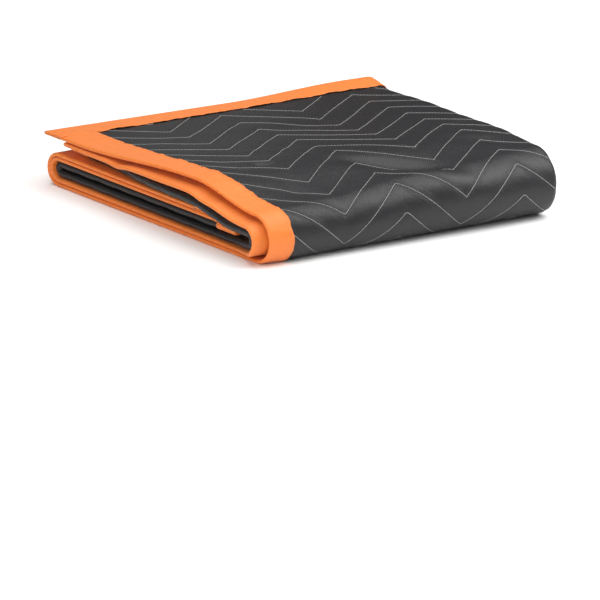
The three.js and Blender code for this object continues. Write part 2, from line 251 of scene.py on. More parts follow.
class PadColours(bpy.types.PropertyGroup):
    """Colours of the pad's cloth, tape and thread."""

    cloth: colour("Cloth", "Charcoal shell cloth", "#202022")
    binding: colour("Binding", "Orange tape", "#e67c33")
    thread: colour("Thread", "Grey quilting thread", "#a4a4a2")
    tape_thread: colour("Tape thread", "Orange topstitch", "#f28a48")
    floor: colour("Floor", "Pale floor", "#fdfdfc")


def smooth(value, low, high):
    """Smooth step from 0 at low to 1 at high."""
    share = np.clip((value - low) / (high - low), 0.0, 1.0)
    return share * share * (3.0 - 2.0 * share)


class FoldedCloth:
    """Places points of the cloth in its folded state, by the same rules as the solids."""

    def __init__(self, sizes):
        self.sizes = sizes
        self.binding_half = sizes.bound_half + sizes.sewn_gap + sizes.binding_wall
        self.shift = Vector((0.0, 0.0, 0.0))
        self.make_section()
        self.find_shift()

    def make_section(self):
        """Middle line of the four layers, as arrays over the distance u across the cloth."""
        pitch = self.sizes.layer_pitch
        turn_x = self.sizes.fold_width - 1.5 * pitch - CREASE_HALF
        crease_x = CREASE_X + pitch / 2 + CREASE_HALF
        points = [(0.0, 0.0, 0.0, 0.0), (turn_x, 0.0, 0.0, 0.0)]

        def turn(centre, depth, radius, side, direction, second):
            for i in range(1, TURN_STEPS):
                angle = math.pi * i / TURN_STEPS
                x = centre + side * radius * math.sin(angle)
                mix = second if i > TURN_STEPS // 2 else 0.0
                points.append((x, depth - direction * radius * math.cos(angle), 1.0, mix))

        turn(turn_x, 1.5 * pitch, 1.5 * pitch, 1, 1, 0.0)
        points.append((turn_x, 3 * pitch, 1.0, 0.0))
        points.append((crease_x, 3 * pitch, 1.0, 0.0))
        turn(crease_x, 2.5 * pitch, pitch / 2, -1, -1, 0.0)
        points.append((crease_x, 2 * pitch, 1.0, 0.0))
        points.append((turn_x, 2 * pitch, 1.0, 0.0))
        turn(turn_x, 1.5 * pitch, pitch / 2, 1, -1, 1.0)
        points.append((turn_x, pitch, 1.0, 1.0))
        points.append((0.0, pitch, 1.0, 1.0))
        table = np.array(points)
        steps = np.hypot(np.diff(table[:, 0]), np.diff(table[:, 1]))
        self.section = table
        self.section_u = np.concatenate([[0.0], np.cumsum(steps)])
        self.face_end = turn_x
        self.large_turn_end = turn_x + math.pi * 1.5 * pitch
        self.fourth_end = self.large_turn_end + turn_x - crease_x
        self.crease_end = self.fourth_end + math.pi * pitch / 2
        self.third_end = self.crease_end + turn_x - crease_x
        self.small_turn_end = self.third_end + math.pi * pitch / 2
        self.second_end = self.section_u[-1]

    def section_at(self, u):
        return [np.interp(u, self.section_u, self.section[:, k]) for k in range(4)]

    def fold_at(self, x):
        """Sizes of the letter fold at a place x across the stack."""
        share = np.clip(x / self.sizes.fold_width, 0.0, 1.0)
        fold = {k: BOUND_END[k] + (CREASED_END[k] - BOUND_END[k]) * share for k in BOUND_END}
        fold["share"] = share
        fold["bottom_front"] = fold["front_y"] + fold["front_radius"]
        fold["bottom_back"] = fold["back_y"] - fold["back_radius"]
        fold["top_start"] = math.pi * fold["front_radius"]
        fold["top_end"] = fold["top_start"] + fold["top_back_y"] - fold["bottom_front"]
        fold["back_end"] = fold["bottom_front"] - fold["bottom_back"]
        fold["back_start"] = fold["back_end"] - math.pi * fold["back_radius"]
        fold["inner_end"] = fold["back_start"] - (fold["bottom_back"] - fold["inner_y"])
        return fold

    def swell_at(self, x, y):
        height = 0.0
        for sx, sy, radius, rise in TOP_SWELLS:
            height = height + rise * np.exp(-((x - sx) ** 2 + (y - sy) ** 2) / radius ** 2)
        return height * smooth(x, SWELL_START_X, SWELL_FULL_X)

    def face_point(self, fold, x, s):
        """Y and Z of the outer face at the distance s along the fold."""
        top_y = fold["bottom_front"] + s - fold["top_start"]
        along = (s - fold["top_start"]) / (fold["top_end"] - fold["top_start"])
        settle = smooth(along, 0.0, 1.0)
        front_z = 2 * fold["front_radius"]
        loose = smooth(along, 0.0, SWELL_IN) * (1 - smooth(along, SWELL_HOLD, SWELL_OUT))
        rise = smooth(along, 0.0, RISE_PEAK) * (1 - smooth(along, RISE_PEAK, RISE_END))
        top_z = front_z + (fold["top_back_z"] - front_z) * settle + fold["top_rise"] * rise
        top_z = top_z + loose * self.swell_at(x, top_y)
        lifted = smooth(fold["share"], BACK_LIFT_START, BACK_LIFT_FULL)
        top_z = top_z + BACK_LIFT * lifted * (1 - smooth(fold["top_end"] - s, 0.0, BACK_LIFT_REACH))
        bend = s / fold["front_radius"]
        bend_y = fold["bottom_front"] - fold["front_radius"] * np.sin(bend)
        bend_z = fold["front_radius"] * (1 - np.cos(bend))
        back = (fold["back_end"] - s) / fold["back_radius"]
        back_y = fold["bottom_back"] + fold["back_radius"] * np.sin(back)
        back_z = fold["back_radius"] * (1 - np.cos(back))
        zones = [s > fold["top_start"], s > 0, s > fold["back_end"], s > fold["back_start"]]
        y = np.select(
            zones, [top_y, bend_y, fold["bottom_front"] - s, back_y],
            fold["bottom_back"] - (fold["back_start"] - s))
        z = np.select(zones, [top_z, bend_z, 0.0 * s, back_z], 2 * fold["back_radius"] + 0.0 * s)
        return y, z

    def crease_at(self, x, s):
        """Depth of the main creases, inwards."""
        depth = 0.0 * s
        for cx, cs, turn, length, width, deep in CREASES:
            angle = math.radians(turn)
            along = (x - cx) * math.cos(angle) + (s - cs) * math.sin(angle)
            across = (s - cs) * math.cos(angle) - (x - cx) * math.sin(angle)
            depth = depth + deep * np.exp(-(along / length) ** 2 - (across / width) ** 2)
        return depth * smooth(x, SWELL_START_X, SWELL_FULL_X)

    def dip_at(self, x, s):
        """Depth of the dips of the second layer beside its free edge."""
        depth = 0.0 * s
        for place, length, deep in SECOND_LAYER_DIPS:
            depth = depth + deep * np.exp(-((s - place) / length) ** 2)
        return depth * (1 - smooth(x, 0.0, DIP_REACH))

    def side_more(self, fold, s):
        """Extra reach of the outer side tape, which grows to the back corner."""
        return SIDE_TAPE_MORE * (1 - smooth(
            fold["top_end"] - s, SIDE_TAPE_MORE_FULL, SIDE_TAPE_MORE_FROM))

    def end_more(self, x):
        """Extra reach of the outer end tape: wider at the corner, narrower at the crease."""
        width = self.sizes.fold_width
        more = END_TAPE_MORE * (1 - smooth(x, *(e * width for e in END_TAPE_MORE_SPAN)))
        return more - END_TAPE_LESS * smooth(x, *(e * width for e in END_TAPE_LESS_SPAN))

    def middle_place(self, x, depth, inner, second, s):
        """The fold, the place along it, x and depth of the cloth's middle line. inner is 1
        in all layers but the first, and second is 1 in the second."""
        fold = self.fold_at(x)
        inner_reach = 1 - smooth(s, fold["inner_end"], fold["inner_end"] + DRIFT_REACH)
        top_reach = smooth(s, fold["top_end"] - DRIFT_REACH, fold["top_end"])
        drift = INNER_END_DRIFT * inner_reach + TOP_END_DRIFT * top_reach
        place = s + drift * inner * (1 - fold["share"])
        rise = smooth(place, SLACK_START, SLACK_FULL)
        slack = rise * (1 - smooth(place, fold["top_start"] + SLACK_HOLD, fold["top_end"]))
        widths = np.interp(depth / self.sizes.layer_pitch, SLACK_DEPTHS, SLACK_WIDTHS)
        edge = 1 - np.minimum(x / SECOND_LAYER_OUT_REACH, 1.0)
        past = place - fold["top_start"]
        crease = inner * (1 - second) * CREASE_IN * smooth(past, CREASE_HOLD, CREASE_SET)
        middle_x = x + (crease - inner * SECOND_LAYER_OUT * slack) * edge
        sag = smooth(past, 0.0, CREASE_SAG_FULL) * (1 - smooth(past, CREASE_SAG_HOLD, CREASE_SET))
        middle_depth = self.binding_half + depth + slack * widths + self.crease_at(x, place)
        middle_depth = middle_depth + inner * (1 - second) * CREASE_SAG * sag * edge
        middle_depth = middle_depth + second * self.dip_at(x, place)
        return fold, place, middle_x, middle_depth

    def cloth_points(self, x, depth, inner, second, s, off_x, off_depth):
        """Points at an offset from the middle line, in metres in the frame."""
        fold, place, middle_x, middle_depth = self.middle_place(x, depth, inner, second, s)
        y, z = self.face_point(fold, x, place)
        y0, z0 = self.face_point(fold, x, place - SLOPE_STEP_S)
        y1, z1 = self.face_point(fold, x, place + SLOPE_STEP_S)
        length = np.hypot(y1 - y0, z1 - z0)
        total = middle_depth + off_depth
        at_y = y + (z1 - z0) / length * total
        at_z = z - (y1 - y0) / length * total + FLOOR_GAP
        at_x = middle_x + off_x + fold["lean_x"] * at_y
        points = np.stack([at_x, at_y, at_z], axis=-1)
        points += np.array(self.shift)
        return points

    def sheet_points(self, u, s, off):
        """Points at an offset from the middle of the cloth, outwards, at u and s."""
        parts = self.section_at(u)
        before = self.section_at(u - SLOPE_STEP_U)
        after = self.section_at(u + SLOPE_STEP_U)
        place0 = self.middle_place(*before, s)
        place1 = self.middle_place(*after, s)
        along_x = place1[2] - place0[2]
        along_depth = place1[3] - place0[3]
        length = np.hypot(along_x, along_depth)
        return self.cloth_points(*parts, s, along_depth / length * off, -along_x / length * off)

    def zigzag(self, u):
        turns = (u - ZIGZAG_VALLEY_X) / (2 * self.sizes.half_period)
        phase = turns - np.floor(turns)
        return ROW_START + self.sizes.zigzag_reach * (0.5 - np.abs(1 - 2 * phase))

    def find_shift(self):
        """Places the cloth by the lowest corner of the outer side binding's solid."""
        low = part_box("binding_side_outer")[0]
        stations = np.linspace(0.0, 1.0, 2001)
        fold = self.fold_at(np.array(0.0))
        clear = self.sizes.binding_width + self.sizes.sewn_gap
        s = fold["inner_end"] + clear + stations * (fold["top_end"] - fold["inner_end"] - 2 * clear)
        edge = self.cloth_points(0.0 * s, 0.0 * s, 0.0 * s, 0.0 * s, s, 0.0, -self.binding_half)
        self.shift = Vector((low[0] - edge[:, 0].min(), low[1] - edge[:, 1].min(), 0.0))


def panel_rows(fold, counts):
    """Distances along the fold, a row for each step, for every place across the stack."""
    marks = [
        fold["inner_end"], fold["back_start"], fold["back_end"], 0.0 * fold["share"],
        fold["top_start"], fold["top_end"]]
    rows = []
    for start, end, count in zip(marks[:-1], marks[1:], counts):
        for i in range(count):
            rows.append(start + (end - start) * i / count)
    return rows


def linked(name, mesh):
    obj = bpy.data.objects.new(name, mesh)
    bpy.context.scene.collection.objects.link(obj)
    return obj


def mesh_object(name, points, faces, maps=()):
    """A smooth mesh object from points, faces and named maps, each with a pair for a point."""
    mesh = bpy.data.meshes.new(name)
    mesh.from_pydata([tuple(p) for p in points], [], faces)
    corners = np.empty(len(mesh.loops), dtype=np.int32)
    mesh.loops.foreach_get("vertex_index", corners)
    for label, pairs in maps:
        layer = mesh.uv_layers.new(name=label)
        layer.data.foreach_set("uv", np.asarray(pairs, dtype=np.float32)[corners].ravel())
    mesh.polygons.foreach_set("use_smooth", [True] * len(mesh.polygons))
    mesh.update()
    return linked(name, mesh)


def volume_of(points, faces):
    total = 0.0
    for face in faces:
        for i in range(1, len(face) - 1):
            a, b, c = points[face[0]], points[face[i]], points[face[i + 1]]
            total += np.dot(a, np.cross(b, c))
    return total / 6


def outward(points, faces):
    """Turns all faces round if the closed mesh is inside out."""
    if volume_of(points, faces) < 0:
        return [tuple(reversed(face)) for face in faces]
    return faces


def strip_faces(first, first_keys, second, second_keys):
    """Triangles between two rows of points, each sorted by its keys."""
    faces = []
    i = j = 0
    while i < len(first) - 1 or j < len(second) - 1:
        next_first = first_keys[i + 1] if i < len(first) - 1 else math.inf
        next_second = second_keys[j + 1] if j < len(second) - 1 else math.inf
        if next_first <= next_second:
            faces.append((first[i], first[i + 1], second[j]))
            i += 1
        else:
            faces.append((first[i], second[j + 1], second[j]))
            j += 1
    return faces


def spread(start, end, step):
    """Even places from start up to, and not with, end, about a step apart."""
    count = max(1, round((end - start) / step))
    return [start + (end - start) * i / count for i in range(count)]


def ring_quads(ids):
    """Quads between each row of points and the next, where each row is a closed ring."""
    nxt = np.roll(ids, -1, axis=1)
    quads = np.stack([ids[:-1], nxt[:-1], nxt[1:], ids[1:]], axis=-1).reshape(-1, 4)
    return [tuple(q) for q in quads.tolist()]


def build_quilt(cloth):
    """The quilted body as one closed mesh: outer side, inner side and both ends."""
    sizes = cloth.sizes
    inset = sizes.binding_wall + sizes.sewn_gap
    bound = sizes.binding_width + 2 * sizes.sewn_gap

    edge_in = [inset, 0.012, 0.026, bound, bound + 0.002]
    edge_out = [cloth.second_end - e for e in reversed(edge_in)]
    shared = (
        spread(cloth.large_turn_end, cloth.fourth_end, HIDDEN_STEP)
        + spread(cloth.fourth_end, cloth.crease_end, CREASE_STEP)
        + spread(cloth.crease_end, cloth.third_end, HIDDEN_STEP)
        + spread(cloth.third_end, cloth.small_turn_end, SMALL_TURN_STEP)
        + spread(cloth.small_turn_end, edge_out[0] - 0.02, HIDDEN_STEP)
        + edge_out)
    outer_u = (
        edge_in + spread(bound + 0.005, cloth.face_end, FACE_STEP)
        + spread(cloth.face_end, cloth.large_turn_end, LARGE_TURN_STEP) + shared)
    inner_u = (
        edge_in + spread(bound + 0.010, cloth.face_end, HIDDEN_STEP)
        + spread(cloth.face_end, cloth.large_turn_end, LARGE_TURN_STEP) + shared)
    u = np.array(outer_u + inner_u[::-1])
    side = np.array([1.0] * len(outer_u) + [-1.0] * len(inner_u))
    fold = cloth.fold_at(cloth.section_at(u)[0])
    rows = panel_rows(fold, PANEL_ROWS)
    head = [fold["inner_end"] + e for e in (inset, bound, bound + 0.002)]
    tail = [fold["top_end"] - e for e in (bound + 0.004, bound + 0.002, bound, 0.02, inset)]
    rows = [r for r in rows if (r - head[-1]).min() > 0.002 and (tail[0] - r).min() > 0.002]
    s = np.stack(head + rows + tail)

    across = np.broadcast_to(u, s.shape)
    row = (s - cloth.zigzag(across)) / sizes.row_pitch
    away = np.abs(row - np.round(row)) * 2
    pillow = 1 - (1 - away) ** PILLOW_POWER
    on_face = smooth(-across, -cloth.large_turn_end - PILLOW_REACH, -cloth.large_turn_end)
    on_face = on_face * (side > 0)
    rise = sizes.inner_puff + (sizes.puff - sizes.inner_puff) * on_face
    full = sizes.trough_half + rise * pillow
    x = cloth.section_at(across)[0]
    edge_layer = (across < cloth.face_end) | (across > cloth.small_turn_end)
    side_bound = bound + cloth.side_more(fold, s) * (across < cloth.face_end)
    end_bound = bound + cloth.end_more(x) * (across < cloth.face_end)
    from_side = np.where(edge_layer, smooth(x - side_bound, 0.0, PILLOW_REACH), 1.0)
    from_head = smooth(s - fold["inner_end"], bound, bound + PILLOW_REACH)
    from_tail = smooth(fold["top_end"] - s - end_bound, 0.0, PILLOW_REACH)
    open_share = np.minimum(np.minimum(from_side, from_head), from_tail)
    half = sizes.bound_half + (full - sizes.bound_half) * open_share

    points = cloth.sheet_points(across, s, half * side)
    points[..., 2] = np.maximum(points[..., 2], 0.0)
    count_rows, count_cols = s.shape
    ids = np.arange(count_rows * count_cols).reshape(s.shape)
    faces = ring_quads(ids)
    n = len(outer_u)
    for end, flip in ((ids[0], False), (ids[-1], True)):
        strip = strip_faces(end[:n].tolist(), outer_u, end[n:][::-1].tolist(), inner_u)
        faces += [tuple(reversed(f)) if flip else f for f in strip]
    flat_points = points.reshape(-1, 3)
    place = np.stack([across.ravel(), s.ravel()], axis=-1)
    seam = np.stack([across.ravel() + row.ravel() * 0.37, away.ravel()], axis=-1)
    return flat_points, outward(flat_points, faces), (("cloth", place), ("seam", seam))


def tape_section(sizes, half, steps_out, steps_in):
    """Outline of a tape folded over an edge: reach and distance from its middle."""
    wall = sizes.binding_wall
    width = sizes.binding_width
    outline = []

    def leg(radius, centre, sign, steps, inward):
        places = [centre + (width - centre) * (i / steps) for i in range(steps + 1)]
        places = places if inward else places[::-1]
        return [(p, sign * radius) for p in places]

    def nose(radius, centre, reverse):
        arc = []
        for i in range(1, NOSE_STEPS):
            angle = math.pi * (i / NOSE_STEPS)
            arc.append((centre - radius * math.sin(angle), -radius * math.cos(angle)))
        return arc[::-1] if reverse else arc

    outline += leg(half, half, -1, steps_out, False)
    outline += nose(half, half, False)
    outline += leg(half, half, 1, steps_in, True)
    outline += leg(half - wall, half, 1, steps_in, False)
    outline += nose(half - wall, half, True)
    outline += leg(half - wall, half, -1, steps_out, True)
    return np.array(outline)


def wave(place, rng, lengths, size):
    """A sum of slow waves with seeded phases, for the pucker of a sewn tape."""
    total = 0.0 * place
    for length in lengths:
        total = total + np.sin(2 * math.pi * place / length + rng.uniform(0, 2 * math.pi))
    return total * size / len(lengths)


def sweep_mesh(points, tape_uv):
    """Closed mesh of sections, each a closed outline, with flat ends."""
    stations, count = points.shape[:2]
    ids = np.arange(stations * count).reshape(stations, count)
    faces = ring_quads(ids)
    half = count // 2
    for ring, flip in ((ids[0], False), (ids[-1], True)):
        for i in range(half - 1):
            quad = (ring[count - 1 - i], ring[count - 2 - i], ring[i + 1], ring[i])
            quad = tuple(int(v) for v in quad)
            faces.append(tuple(reversed(quad)) if flip else quad)
    flat = points.reshape(-1, 3)
    return flat, outward(flat, faces), (("cloth", tape_uv.reshape(-1, 2)),)


def with_seam(outline, sizes, half):
    """Adds the place of the topstitch to a tape's outline, as its last point."""
    seam = [sizes.binding_width - SEAM_INSET, -half - sizes.thread * TOPSTITCH_SUNK]
    return np.vstack([outline, seam])


def tape_shape(outline, along, more, half, width, rng):
    """Reach and distance of the tape's outline at each station, with its pucker."""
    reach = outline[None, :, 0] + 0.0 * along[:, None]
    off = outline[None, :, 1] + 0.0 * along[:, None]
    outer_leg = (outline[None, :, 1] < -half * 0.6) * smooth(outline[None, :, 0], half, width)
    sway = wave(along, rng, *TAPE_SWAY)[:, None]
    ripple = wave(along, rng, *TAPE_RIPPLE)[:, None]
    slow = wave(along, rng, *TAPE_SLOW)[:, None]
    reach = reach + (sway + more[:, None]) * outer_leg
    off = off - (ripple + slow + TAPE_PROUD) * outer_leg ** 1.5
    return reach, off


def close_ends(outline, off, along, half, wall):
    """Shuts the tape at both ends, where its folded end is sewn down."""
    inside = np.broadcast_to(np.abs(outline[None, :, 1]) < half - wall / 2, off.shape)
    from_end = np.minimum(along - along[0], along[-1] - along)[:, None]
    shut = (from_end < END_WALL) & inside
    soft = END_SHARE + (1 - END_SHARE) * smooth(from_end, 0.0, END_SOFT)
    return np.where(shut, np.sign(off) * 0.05 * MM, off * np.where(inside, 1.0, soft))


def build_side_binding(cloth, layer, rng):
    """Tape over one of the two side edges."""
    sizes = cloth.sizes
    outline = with_seam(tape_section(sizes, cloth.binding_half, 12, 6), sizes, cloth.binding_half)
    share = np.linspace(0.0, 1.0, SIDE_STATIONS)
    clear = sizes.binding_width + sizes.sewn_gap
    base = cloth.fold_at(np.array(0.0))
    along = base["inner_end"] + share * (base["top_end"] - base["inner_end"])
    more = cloth.side_more(base, along) * (layer == 0)
    reach, off = tape_shape(
        outline, along, more, cloth.binding_half, sizes.binding_width, rng)
    fold = cloth.fold_at(reach)
    low = fold["inner_end"] + clear
    high = fold["top_end"] - clear
    s = match_rows(base, fold, low, high, share[:, None], clear)
    depth = layer * sizes.layer_pitch + 0.0 * s
    flag = float(layer) + 0.0 * s
    points = cloth.cloth_points(reach, depth, flag, flag, s, 0.0, off)
    points[..., 2] = np.maximum(points[..., 2], 0.1 * MM)
    place = np.stack([reach + 0.0 * s, s], axis=-1)
    return sweep_mesh(points[:, :-1], place[:, :-1]), points[:, -1]


def match_rows(base, fold, low, high, marks, clear):
    """Stations that keep to the same panels and bends at every reach."""
    own = base["inner_end"] + clear + marks * (base["top_end"] - base["inner_end"] - 2 * clear)
    own = own + 0.0 * low
    zero = 0.0 * low
    base_marks = [
        base["inner_end"] + clear, base["back_start"], base["back_end"], 0.0,
        base["top_start"], base["top_end"] - clear]
    own_marks = [low, fold["back_start"], fold["back_end"], zero, fold["top_start"], high]
    result = own_marks[0] + zero
    for i in range(1, len(base_marks)):
        share = np.clip((own - base_marks[i - 1]) / (base_marks[i] - base_marks[i - 1]), 0, 1)
        result = result + share * (own_marks[i] - own_marks[i - 1])
    return result


def build_end_binding(cloth, at_top, rng):
    """Tape over one free end, round all four layers."""
    sizes = cloth.sizes
    outline = with_seam(tape_section(sizes, cloth.binding_half, 12, 5), sizes, cloth.binding_half)

    u = np.array(
        spread(0.0, END_WALL + 0.1 * MM, END_WALL - 0.1 * MM)
        + spread(END_WALL + 0.1 * MM, cloth.face_end, FACE_STEP if at_top else TAPE_HIDDEN_STEP)
        + spread(cloth.face_end, cloth.large_turn_end, LARGE_TURN_STEP)
        + spread(cloth.large_turn_end, cloth.fourth_end, TAPE_INNER_STEP)
        + spread(cloth.fourth_end, cloth.crease_end, CREASE_STEP)
        + spread(cloth.crease_end, cloth.third_end, TAPE_INNER_STEP)
        + spread(cloth.third_end, cloth.small_turn_end, CREASE_STEP)
        + spread(cloth.small_turn_end, cloth.second_end - END_WALL, TAPE_SECOND_STEP)
        + [cloth.second_end - END_WALL, cloth.second_end - END_WALL + 0.1 * MM, cloth.second_end])
    more = cloth.end_more(np.minimum(u, cloth.face_end)) * at_top
    reach, off = tape_shape(outline, u, more, cloth.binding_half, sizes.binding_width, rng)
    loose = (1 - smooth(u, cloth.face_end, cloth.face_end + TAPE_CALM))[:, None]
    reach = outline[None, :, 0] + (reach - outline[None, :, 0]) * loose
    off = outline[None, :, 1] + (off - outline[None, :, 1]) * loose
    off = close_ends(outline, off, u, cloth.binding_half, sizes.binding_wall)
    across = u[:, None] + 0.0 * reach
    fold = cloth.fold_at(cloth.section_at(across)[0])
    s = fold["top_end"] - reach if at_top else fold["inner_end"] + reach
    points = cloth.sheet_points(across, s, -off)
    place = np.stack([reach, across], axis=-1)
    return sweep_mesh(points[:, :-1], place[:, :-1]), points[:, -1]


def line_object(name, lines):
    """Loose polylines as one mesh of edges, the paths that stitches follow."""
    points = []
    edges = []
    for line in lines:
        start = len(points)
        points += [tuple(p) for p in line]
        edges += [(start + i, start + i + 1) for i in range(len(line) - 1)]
    mesh = bpy.data.meshes.new(name)
    mesh.from_pydata(points, edges, [])
    return linked(name, mesh)


def add_node(tree, kind, links=(), values=(), **settings):
    """Adds a node with its settings, values of its sockets, and links into it."""
    node = tree.nodes.new(kind)
    for key, value in settings.items():
        setattr(node, key, value)
    for socket, value in dict(values).items():
        node.inputs[socket].default_value = value
    for source, socket in links:
        tree.links.new(source, node.inputs[socket])
    return node


def stitch_tree():
    """Geometry Nodes tree that sets a stitch at each step along the paths."""
    tree = bpy.data.node_groups.new("stitches", "GeometryNodeTree")
    tree.interface.new_socket("Paths", in_out="INPUT", socket_type="NodeSocketGeometry")
    for label in ("Pitch", "Length", "Thickness"):
        socket = tree.interface.new_socket(label, in_out="INPUT", socket_type="NodeSocketFloat")
        socket.subtype = "DISTANCE"
    tree.interface.new_socket("Thread", in_out="INPUT", socket_type="NodeSocketMaterial")
    tree.interface.new_socket("Stitches", in_out="OUTPUT", socket_type="NodeSocketGeometry")

    group = add_node(tree, "NodeGroupInput")
    given = group.outputs
    paths = add_node(tree, "GeometryNodeMeshToCurve", [(given["Paths"], "Mesh")])
    steps = add_node(tree, "GeometryNodeCurveToPoints", [
        (paths.outputs["Curve"], "Curve"), (given["Pitch"], "Length")], mode="LENGTH")
    radius = add_node(tree, "ShaderNodeMath", [(given["Thickness"], 0)], {1: 0.5},
                      operation="MULTIPLY")
    bead = add_node(tree, "GeometryNodeMeshUVSphere", [(radius.outputs[0], "Radius")],
                    {"Segments": 5, "Rings": 4})
    stretch = add_node(tree, "ShaderNodeMath", [
        (given["Length"], 0), (given["Thickness"], 1)], operation="DIVIDE")
    scale = add_node(tree, "ShaderNodeCombineXYZ", [(stretch.outputs[0], "Z")],
                     {"X": 1.0, "Y": 1.0})
    placed = add_node(tree, "GeometryNodeInstanceOnPoints", [
        (steps.outputs["Points"], "Points"), (bead.outputs["Mesh"], "Instance"),
        (steps.outputs["Rotation"], "Rotation"), (scale.outputs[0], "Scale")])
    real = add_node(tree, "GeometryNodeRealizeInstances", [(placed.outputs[0], "Geometry")])
    soft = add_node(tree, "GeometryNodeSetShadeSmooth", [(real.outputs[0], "Geometry")])
    painted = add_node(tree, "GeometryNodeSetMaterial", [
        (soft.outputs[0], "Geometry"), (given["Thread"], "Material")])
    add_node(tree, "NodeGroupOutput", [(painted.outputs[0], "Stitches")])
    return tree


def sew(name, lines, sizes, share, thread):
    """Sews stitches that fill a share of their pitch along the lines, as a plain mesh."""
    values = {
        "Pitch": sizes.stitch, "Length": sizes.stitch * share, "Thickness": sizes.thread,
        "Thread": thread}
    paths = line_object(name + "_paths", lines)
    modifier = paths.modifiers.new("stitches", "NODES")
    modifier.node_group = bpy.data.node_groups.get("stitches") or stitch_tree()
    for item in modifier.node_group.interface.items_tree:
        if item.in_out == "INPUT" and item.name in values:
            modifier[item.identifier] = values[item.name]
    graph = bpy.context.evaluated_depsgraph_get()
    mesh = bpy.data.meshes.new_from_object(paths.evaluated_get(graph))
    paths.modifiers.remove(modifier)
    bpy.data.objects.remove(paths)
    mesh.name = name
    if not mesh.polygons:
        raise RuntimeError(name + ": the stitch tree made nothing")
    return linked(name, mesh)


def quilting_lines(cloth):
    """Zigzag rows of the outer face, from the side binding round the creased end."""
    sizes = cloth.sizes
    clear = sizes.binding_width + SEAM_CLEAR
    u = np.arange(clear, cloth.large_turn_end + ROW_STEP, ROW_STEP)
    fold = cloth.fold_at(cloth.section_at(u)[0])
    low = fold["inner_end"] + clear
    high = fold["top_end"] - clear
    lines = []
    first = math.floor((low.min() - sizes.zigzag_reach) / sizes.row_pitch)
    last = math.ceil((high.max() + sizes.zigzag_reach) / sizes.row_pitch)
    for row in range(first, last + 1):
        s = row * sizes.row_pitch + cloth.zigzag(u)
        inside = (s > low) & (s < high)
        if inside.sum() < 4:
            continue
        points = cloth.sheet_points(u, s, sizes.trough_half + sizes.thread * ROW_PROUD + 0.0 * u)
        points[:, 2] = np.maximum(points[:, 2], sizes.thread * ROW_FLOOR)
        run = []
        for keep, point in zip(inside, points):
            if keep:
                run.append(point)
                continue
            if len(run) > 3:
                lines.append(run)
            run = []
        if len(run) > 3:
            lines.append(run)
    return lines


def material(name):
    made = bpy.data.materials.new(name)
    made.use_nodes = True
    made.node_tree.nodes.clear()
    return made


def wave_scale(pitch):
    """Scale of a wave texture whose bands are one pitch apart."""
    return 2 * math.pi / (20 * pitch)


def noise(tree, source, scale, detail, roughness=0.5):
    return add_node(tree, "ShaderNodeTexNoise", [(source, "Vector")],
                    {"Scale": scale, "Detail": detail, "Roughness": roughness})


def bump(tree, height, strength, distance, *under):
    """A bump by the height, over the normal of another bump where one is given."""
    links = [(height, "Height")] + [(normal, "Normal") for normal in under]
    return add_node(
        tree, "ShaderNodeBump", links, {"Strength": strength, "Distance": distance})


def mottled(tree, pattern, dye, dark, light):
    """A shade of the dye, darker or lighter by the pattern."""
    base = np.array(dye[:3])
    shade = add_node(tree, "ShaderNodeMix", [(pattern.outputs[0], "Factor")],
                     data_type="RGBA", blend_type="MIX")
    shade.inputs["A"].default_value = (*(base * dark), 1.0)
    shade.inputs["B"].default_value = (*np.minimum(base * light, 1.0), 1.0)
    return shade


